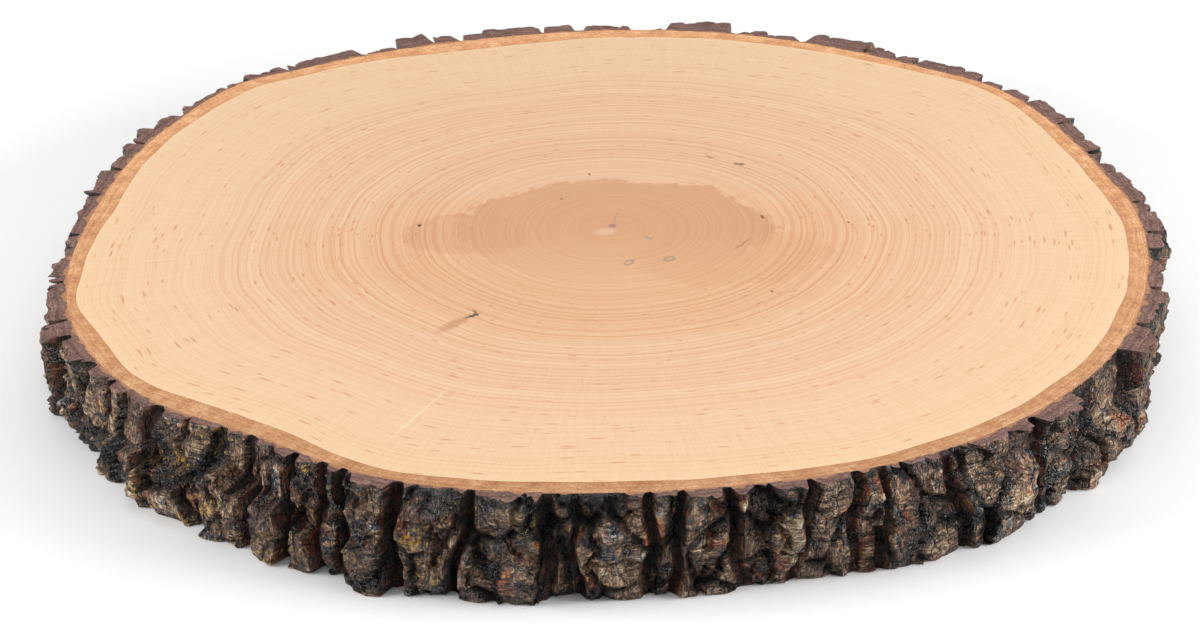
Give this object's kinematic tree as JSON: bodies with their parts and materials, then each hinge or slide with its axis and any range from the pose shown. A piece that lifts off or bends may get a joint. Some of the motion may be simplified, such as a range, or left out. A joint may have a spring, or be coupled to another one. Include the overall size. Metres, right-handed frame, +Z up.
{
  "type": "wood slice",
  "caption": "Round cross-cut slice of a tree trunk, flat on both sawn faces, with pale ringed wood, inner bark and deeply cracked outer bark round the rim.",
  "frame": {"origin": "middle of the lower sawn face, under the middle of the slice's box", "axes": "+Z up through the thickness, along the grain of the trunk; +X across the slice to the right, seen from the front; +Y across the slice, away from the front"},
  "size_m": [0.3942, 0.3994, 0.034],
  "materials": {
    "wood_and_bark": "sanded"
  },
  "bodies": {
    "root": {"wood_slice": "wood_and_bark"}
  },
  "joints": []
}
